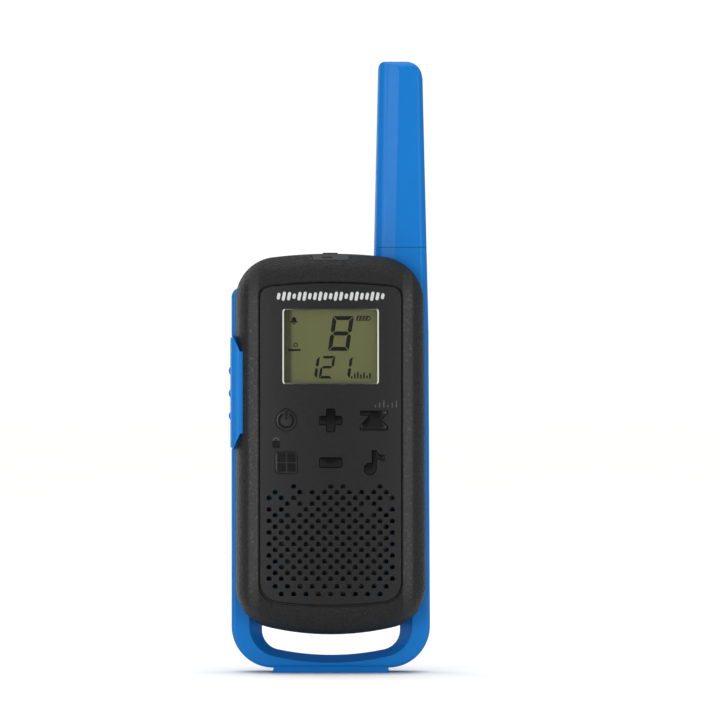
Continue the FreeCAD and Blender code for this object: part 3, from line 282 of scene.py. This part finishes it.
def plated(name, dark, light, roughness=0.3, speck_mm=0.6):
    """Plated or rolled metal: bright, with light handling marks in its roughness."""
    made, tree, surface = blank(name, Metallic=1.0)
    pigment(tree, surface, grain(tree, 3.0, 3.0), dark, light)
    gloss(tree, surface, grain(tree, speck_mm, 4.0), roughness * 0.7, roughness * 1.3)
    return made


def solder_mask():
    """Green circuit board: copper tracks 0.3 mm wide raise the glossy mask."""
    made, tree, surface = blank("solder_mask", Roughness=0.3, IOR=1.55, Coat_Weight=0.3)
    spot = add(tree, "TexCoord").outputs["Object"]
    tracks = add(tree, "TexBrick", {"Vector": spot, "Scale": 1 / (2.4 * MM),
                                    "Mortar Size": 0.06, "Color1": linear("0B3B1C"),
                                    "Color2": linear("0E4522"), "Mortar": linear("1B6534")})
    tree.links.new(tracks.outputs["Color"], surface.inputs["Base Color"])
    relief(tree, surface, tracks.outputs["Fac"], 0.035, 0.6)
    return made


def moulded_epoxy():
    """Chip packages: dark grey, fine blasted texture."""
    made, tree, surface = blank("moulded_epoxy", Roughness=0.55)
    pigment(tree, surface, grain(tree, 0.2), "1A1A1C", "29292C")
    relief(tree, surface, grain(tree, 0.12), 0.01, 0.4)
    return made


def woven_cloth():
    """Acoustic cloth of 0.25 mm black polyester threads."""
    made, tree, surface = blank("woven_cloth", Roughness=0.9, Sheen_Weight=0.3)
    spot = add(tree, "TexCoord").outputs["Object"]
    threads = [add(tree, "TexWave", {"Vector": spot, "Scale": 1 / (1.6 * MM)},
                   bands_direction=direction).outputs["Fac"] for direction in ("X", "Z")]
    weave = all_of(tree, threads)
    relief(tree, surface, weave, 0.1, 0.8)
    pigment(tree, surface, weave, "060606", "1A1A1A")
    return made


def pressed_paper():
    """Loudspeaker cone: black paper pulp with short fibres."""
    made, tree, surface = blank("pressed_paper", Roughness=0.85)
    fibres = grain(tree, 0.5, 6.0, 0.7)
    relief(tree, surface, fibres, 0.05, 0.6)
    pigment(tree, surface, fibres, "0D0D0D", "242424")
    return made


def wire_sleeve(name, dark, light):
    """PVC wire insulation: smooth and slightly waxy."""
    made, tree, surface = blank(name, Roughness=0.4)
    pigment(tree, surface, grain(tree, 2.0), dark, light)
    return made


def cell_sleeve(node, button_up):
    """A shrink-wrapped AAA cell: bare steel ends, a copper band at the button end, then a
    charcoal printed film. No lettering."""
    made, tree, surface = blank("shrink_film_" + node, Roughness=0.28, Coat_Weight=0.4)
    low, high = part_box(node)
    ends = (low.z, high.z) if button_up else (high.z, low.z)
    along = add(tree, "MapRange", {"Value": along_axes(tree)["Z"], "From Min": ends[0],
                                   "From Max": ends[1]}).outputs["Result"]
    film_starts, film_ends = 0.012, 0.955
    steel, film, seam, copper = "B9BBBE", "1E2126", "C8CBCE", "B06A35"
    stops = ((0.0, steel), (film_starts, film), (0.66, seam), (0.675, copper),
             (film_ends, steel))
    bands = add(tree, "ValToRGB", {"Fac": along})
    bands.color_ramp.interpolation = "CONSTANT"
    while len(bands.color_ramp.elements) < len(stops):
        bands.color_ramp.elements.new(0.5)
    for element, (position, colour) in zip(bands.color_ramp.elements, stops):
        element.position, element.color = position, linear(colour)
    tree.links.new(bands.outputs["Color"], surface.inputs["Base Color"])
    button = add(tree, "Math", {0: along, 1: film_ends}, operation="GREATER_THAN").outputs[0]
    base = add(tree, "Math", {0: along, 1: film_starts}, operation="LESS_THAN").outputs[0]
    bare = add(tree, "Math", {0: button, 1: base}, operation="MAXIMUM").outputs[0]
    tree.links.new(bare, surface.inputs["Metallic"])
    relief(tree, surface, grain(tree, 1.2), 0.02, 0.3)
    return made


def pale_laminate():
    """The table: matt pale laminate with a barely visible grain."""
    made, tree, surface = blank("pale_laminate", Roughness=0.7, Specular_IOR_Level=0.2)
    pigment(tree, surface, grain(tree, 60.0, 3.0), "F4F4F3", "FAFAF9")
    return made


def finish_nodes():
    """Gives every carried-over node its finish."""
    blue = satin_abs("blue_satin_abs", "0066AF", "006CB9")
    charcoal = satin_abs("charcoal_satin_nylon", "1C1C1D", "252526", 0.4)
    keys = lacquered_silicone("black_lacquered_silicone", "040404", "080809")
    ground = lacquered_silicone("grey_lacquered_silicone", "202021", "2A2A2B")
    soft = matt_elastomer()
    nickel = plated("nickel_plated_steel", "A9A6A0", "C6C3BD", 0.25)
    zinc = plated("zinc_plated_steel", "9FA3A8", "B9BDC2", 0.35)
    tin, epoxy = plated("tinplate", "B4B7BA", "CDD0D2", 0.3, 1.2), moulded_epoxy()
    clear_grey = matt_elastomer("grey_silicone", "6F7275", "85888B")
    finishes = {
        "front_housing": spark_textured_abs(), "rear_housing": blue, "battery_door": blue,
        "antenna_sheath": blue, "ptt_button": blue, "port_cover": soft,
        "display_window": cast_acrylic(), "lcd_glass": reflective_lcd(),
        "lcd_backlight": milky_acrylic(), "display_gasket": soft, "zebra_strip": clear_grey,
        "keypad_mat": clear_grey, "key_domes": nickel, "main_board": solder_mask(),
        "rf_shield": tin, "board_chips": epoxy, "headset_jack": epoxy, "usb_socket": tin,
        "ptt_switch": epoxy, "grille_cloth": woven_cloth(), "speaker_gasket": soft,
        "speaker_basket": zinc, "speaker_cone": pressed_paper(), "speaker_magnet": nickel,
        "speaker_lead_red": wire_sleeve("red_pvc", "8E0F0A", "A3140D"),
        "speaker_lead_black": wire_sleeve("black_pvc", "0B0B0B", "161616"),
        "microphone": epoxy, "microphone_boot": soft, "battery_springs": nickel,
        "battery_plates": nickel, "clip_base": charcoal, "clip_arm": charcoal,
        "clip_pin": zinc, "clip_spring": nickel, "housing_seal": clear_grey,
        "housing_screws": zinc, "board_screws": zinc, "antenna_coil": nickel,
        "antenna_core": milky_acrylic(),
        "antenna_feed": plated("turned_brass", "B08A3E", "C9A24E", 0.25),
    }
    for name in NODES:
        if name.startswith("key_") and name != "key_domes":
            finishes[name] = ground if name in ("key_menu", "key_power") else keys
        if name.startswith("battery_cell"):
            finishes[name] = cell_sleeve(name, name != "battery_cell_2")
    for name, finish in finishes.items():
        mesh = NODES[name].data
        mesh.materials.clear()
        mesh.materials.append(finish)
        if finish in (keys, ground):
            soften(NODES[name], 0.28)


def soften(node, width_mm):
    """Rounds a node's sharp edges, once its split corners are joined."""
    weld = node.modifiers.new("weld", "WELD")
    weld.merge_threshold = 0.002 * MM
    edge = node.modifiers.new("soft_edges", "BEVEL")
    edge.width, edge.segments = width_mm * MM, 3
    edge.limit_method, edge.angle_limit = "ANGLE", math.radians(40)


# ---- outlines, in millimetres, x to the right and z up ------------------------------------
def bar(start, end, width, steps=6):
    """A stroke with round ends."""
    dx, dz = end[0] - start[0], end[1] - start[1]
    heading = math.atan2(dz, dx)
    points = []
    for centre, turn in ((end, -math.pi / 2), (start, math.pi / 2)):
        for i in range(steps + 1):
            a = heading + turn + math.pi * i / steps
            points.append((centre[0] + width / 2 * math.cos(a),
                           centre[1] + width / 2 * math.sin(a)))
    return points


def band(x, z, radius, width, from_deg, to_deg, count=20):
    """Part of a ring."""
    points = []
    for r, order in ((radius + width / 2, range(count + 1)),
                     (radius - width / 2, range(count, -1, -1))):
        for i in order:
            a = math.radians(from_deg + (to_deg - from_deg) * i / count)
            points.append((x + r * math.cos(a), z + r * math.sin(a)))
    return points


def rounded(x, z, width, height, radius, steps=5):
    """A rectangle with round corners."""
    points = []
    for cx, cz, begin in ((1, 1, 0), (-1, 1, 90), (-1, -1, 180), (1, -1, 270)):
        for i in range(steps + 1):
            a = math.radians(begin + 90 * i / steps)
            points.append((x + cx * (width / 2 - radius) + radius * math.cos(a),
                           z + cz * (height / 2 - radius) + radius * math.sin(a)))
    return points


# ---- pieces -------------------------------------------------------------------------------
def skin_of(node, from_behind=False):
    """A function giving the y of a node's surface at (x, z), both in millimetres."""
    mesh = NODES[node].data
    tree = BVHTree.FromPolygons([v.co for v in mesh.vertices],
                                [p.vertices for p in mesh.polygons])
    start, heading = (0.1, -1) if from_behind else (-0.1, 1)

    def surface(x, z):
        hit = tree.ray_cast(Vector((x * MM, start, z * MM)), Vector((0, heading, 0)))[0]
        return hit.y
    return surface


def raised(name, outlines, surface, lift_mm, sink_mm, finish, body, outward=-1,
           bevel_mm=0.0):
    """Closed prisms on outlines, from sink_mm below a surface to lift_mm above it."""
    verts, faces = [], []
    for outline in outlines:
        base, count = len(verts), len(outline)
        for offset in (lift_mm, -sink_mm):
            verts += [(x * MM, surface(x, z) + outward * offset * MM, z * MM)
                      for x, z in outline]
        faces.append([base + i for i in range(count)])
        faces.append([base + count + i for i in reversed(range(count))])
        for i in range(count):
            j = (i + 1) % count
            faces.append([base + j, base + i, base + count + i, base + count + j])
    mesh = bpy.data.meshes.new(name)
    mesh.from_pydata(verts, [], faces)
    finished(name, mesh, finish, body, bevel_mm)


def finished(name, mesh, finish, body, bevel_mm=0.0):
    """Turns a mesh into a piece that rides on a body."""
    mesh.validate()
    made = bpy.data.objects.new(name, mesh)
    bpy.context.scene.collection.objects.link(made)
    mesh.materials.append(finish)
    if bevel_mm:
        edge = made.modifiers.new("soft_edges", "BEVEL")
        edge.width, edge.segments, edge.limit_method = bevel_mm * MM, 2, "ANGLE"
    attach(made, body)


def digit(character, left, bottom, width, height, thick):
    """Seven-segment strokes with mitred ends, leaning to the right."""
    gap, half = thick * 0.14, height / 2
    upright = [(0, gap), (thick, thick + gap), (thick, half - thick / 2 - gap),
               (thick / 2, half - gap), (0, half - gap - thick / 2)]
    level = [(gap, 0), (width - gap, 0), (width - thick - gap, thick), (thick + gap, thick)]
    shapes = {
        "e": upright, "f": [(x, height - z) for x, z in upright],
        "c": [(width - x, z) for x, z in upright],
        "b": [(width - x, height - z) for x, z in upright],
        "d": level, "a": [(x, height - z) for x, z in level],
        "g": [(thick / 2 + gap, half), (thick + gap, half + thick / 2),
              (width - thick - gap, half + thick / 2), (width - thick / 2 - gap, half),
              (width - thick - gap, half - thick / 2), (thick + gap, half - thick / 2)],
    }
    return [[(left + x + z * SLANT, bottom + z) for x, z in shapes[s]]
            for s in SEGMENTS[character]]


def display_picture(ink):
    """What the display shows: channel, code and small status icons."""
    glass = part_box("lcd_glass")[0].y

    def flat(x, z):
        return glass

    def show(name, outlines):
        raised(name, outlines, flat, 0.02, 0.005, ink, "radio")

    show("channel_digit", digit("8", -0.78, 88.4, 5.7, 9.5, 1.1))
    code = digit("1", -6.8, 80.85, 3.0, 6.1, 0.78) + digit("2", -3.3, 80.85, 3.7, 6.15, 0.7)
    show("code_digits", code + digit("1", 2.15, 80.85, 3.0, 6.1, 0.78))
    bell = [(-11.15, 96.15), (-10.65, 96.6), (-10.45, 97.3), (-9.98, 97.75), (-9.5, 97.3),
            (-9.3, 96.6), (-8.8, 96.15)]
    show("bell_icon", [bell, band(-9.98, 96.1, 0.3, 0.28, 180, 360)])
    show("signal_icon", [bar((-11.3, 88.62), (-8.4, 88.62), 0.55),
                         band(-9.55, 90.0, 0.5, 0.26, 0, 360, 24)])
    cell = [bar((7.2, 97.85), (10.2, 97.85), 0.22), bar((7.0, 96.75), (10.2, 96.75), 0.22),
            band(10.2, 97.3, 0.55, 0.24, -90, 90, 10)]
    cell += [bar((x, 97.1), (x + 0.25, 97.5), 0.5) for x in (7.1, 7.95, 8.8, 9.65)]
    show("battery_icon", cell)
    levels = [0.5, 1.2, 1.7, 1.0, 1.5, 0.7, 1.3]
    xs = [5.75 + i * 0.82 for i in range(len(levels))]
    show("voice_icon", [bar((x, 81.0), (x, 80.8 + tall), 0.44) for x, tall in zip(xs, levels)])


def wave_emblem(ink):
    """A printed sound wave above the display, in place of any name."""
    count, pitch, middle, width = 21, 1.42, 103.3, 0.86
    tallest_half, lean = 1.27, 0.2
    bars = []
    for i in range(count):
        x = (i - (count - 1) / 2) * pitch
        swell = 0.56 + 0.44 * abs(math.sin(i * 0.93 + 0.4))
        half = tallest_half * swell - width / 2
        bars.append(bar((x - half * lean, middle - half), (x + half * lean, middle + half),
                        width))
    raised("wave_emblem", bars, skin_of("front_housing"), 0.02, 0.05, ink, "radio")


def key_marks(finish, painted_highlight):
    """Raised strokes on the keys, and the small moulded marks beside two of them. The lock's
    shackle and the relay mark take a paler finish, a painted highlight for their lit outlines.
    """
    power = [band(-12.1, 69.4, 1.95, 0.7, 120, 420), bar((-12.1, 69.9), (-12.1, 71.9), 0.5)]
    squares = [rounded(x, z, 2.3, 2.3, 0.25) for x in (-13.38, -10.67) for z in (59.25, 56.55)]
    for key, outlines, body in (("key_power", power, "power_key"),
                                ("key_menu", squares, "menu_key")):
        raised(key + "_strokes", outlines, skin_of(key), 0.2, 0.1, finish, body,
               bevel_mm=0.1)
    panel = skin_of("front_housing")
    raised("lock_mark", [rounded(-14.9, 62.85, 2.0, 1.8, 0.25)], panel, 0.22, 0.1, finish,
           "radio", bevel_mm=0.08)
    raised("lock_shackle", [band(-14.9, 63.9, 0.75, 0.42, 0, 180)], panel, 0.22, 0.1, painted_highlight,
           "radio", bevel_mm=0.08)
    relay = []
    for i in range(6):
        x = 12.2 + 1.15 * i
        relay.append(bar((x, 73.1), (x, 73.5 + 0.6 * (i % 3)), 0.4))
    raised("relay_mark", relay, panel, 0.22, 0.1, painted_highlight, "radio",
           bevel_mm=0.08)


def door_arrow(finish):
    """Raised arrow on the battery door that points to its catch."""
    head = [(-2.4, 54.6), (2.4, 54.6), (0.0, 57.6)]
    tail = [bar((-1.5, 53.2), (1.5, 53.2), 0.7), bar((-1.0, 51.8), (1.0, 51.8), 0.7)]
    raised("door_arrow", [head] + tail, skin_of("battery_door", from_behind=True), 0.2, 0.1,
           finish, "door", outward=1, bevel_mm=0.06)


def window_rim(finish):
    """The polished, rounded edge of the display window."""
    low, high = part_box("display_window")
    hidden_flange, gap = 0.9, 0.08
    inset = hidden_flange + gap
    left, right = low.x / MM + inset, high.x / MM - inset
    bottom, top = low.z / MM + inset, high.z / MM - inset
    width, corner, height, turns = 0.42, 0.85, 0.14, 6
    surface = skin_of("display_window")
    loops = []
    for i in range(turns + 1):
        across = width / 2 * (1 - math.cos(math.pi * i / turns))
        lift = height * math.sin(math.pi * i / turns)
        loops.append((rounded((left + right) / 2, (bottom + top) / 2, right - left - 2 * across,
                              top - bottom - 2 * across, corner - across), lift))
    loops += [(loops[-1][0], -0.2), (loops[0][0], -0.2)]
    verts = [(x * MM, surface(x * 0.99, z) - lift * MM, z * MM)
             for outline, lift in loops for x, z in outline]
    count = len(loops[0][0])
    faces = []
    for ring in range(len(loops)):
        other = (ring + 1) % len(loops)
        for i in range(count):
            j = (i + 1) % count
            faces.append([ring * count + i, ring * count + j, other * count + j,
                          other * count + i])
    mesh = bpy.data.meshes.new("window_rim")
    mesh.from_pydata(verts, [], faces)
    mesh.shade_smooth()
    finished("window_rim", mesh, finish, "radio")


# ---- light, table and camera --------------------------------------------------------------
def softbox(name, at, aim, size, power):
    """A white rectangular lamp at a place, turned to its aim."""
    lamp = bpy.data.lights.new(name, "AREA")
    lamp.shape, lamp.size, lamp.size_y = "RECTANGLE", size[0], size[1]
    lamp.energy = power
    made = bpy.data.objects.new(name, lamp)
    made.location = at
    made.rotation_euler = (Vector(aim) - Vector(at)).to_track_quat("-Z", "Y").to_euler()
    bpy.context.scene.collection.objects.link(made)


def studio():
    """A softbox to the left, weaker ones to the right and behind, and a wide light from
    straight above that keeps the table white."""
    scene = bpy.context.scene
    middle = (0.0, 0.0, 0.08)
    softbox("left_softbox", (-0.62, -1.14, 0.2), middle, (0.3, 0.9), 7.8)
    softbox("right_softbox", (0.62, -1.14, 0.2), middle, (0.26, 0.9), 5.6)
    softbox("back_softbox", (-1.0, 1.0, 0.4), middle, (0.6, 0.9), 5.5)
    overhead = bpy.data.lights.new("overhead", "SUN")
    overhead.energy, overhead.angle = 2.9, math.radians(75)
    lamp = bpy.data.objects.new("overhead", overhead)
    scene.collection.objects.link(lamp)

    world = bpy.data.worlds.new("studio_white")
    world.use_nodes = True
    tree = world.node_tree
    background = tree.nodes["Background"]
    background.inputs["Color"].default_value = linear("FFFFFF")
    lighting, backdrop = 0.22, 1.05
    seen = add(tree, "LightPath").outputs["Is Camera Ray"]
    strength = add(tree, "MapRange", {"Value": seen, "To Min": lighting, "To Max": backdrop})
    tree.links.new(strength.outputs["Result"], background.inputs["Strength"])
    scene.world = world
    scene.view_settings.view_transform = "Standard"

    reach = 6.0
    mesh = bpy.data.meshes.new("table_top")
    mesh.from_pydata([(-reach, -reach, 0), (reach, -reach, 0), (reach, reach, 0),
                      (-reach, reach, 0)], [], [[0, 1, 2, 3]])
    mesh.materials.append(pale_laminate())
    table = bpy.data.objects.new("table_top", mesh)
    scene.collection.objects.link(table)


def camera():
    """Square on to the front and far off, so that hardly anything converges."""
    lens = bpy.data.cameras.new("camera")
    lens.lens, lens.sensor_width = 300.0, 36.0
    field_width, middle_x, middle_z, parting_y = 197.6 * MM, 8.0 * MM, 85.9 * MM, -7 * MM
    made = bpy.data.objects.new("camera", lens)
    distance = field_width * lens.lens / lens.sensor_width
    made.location = (middle_x, parting_y - distance, middle_z)
    made.rotation_euler = (math.pi / 2, 0, 0)
    lens.clip_end = 20.0
    bpy.context.scene.collection.objects.link(made)
    bpy.context.scene.camera = made


finish_nodes()
display_picture(segment_ink())
wave_emblem(pad_print("silver_pad_print", "AEAFB0", "BDBEBF"))
# The paler satin finish is a painted highlight on the lock's shackle and the relay mark.
key_marks(lacquered_silicone("mark_lacquered_silicone", "080808", "0E0E0F"),
          satin_abs("highlight_painted_satin_abs", "3A3A3B", "4A4A4B"))
# The arrow is coloured a paler blue than the door.
door_arrow(satin_abs("paler_blue_abs", "1C7FC6", "2A88CC"))
window_rim(cut_acrylic())
studio()
camera()
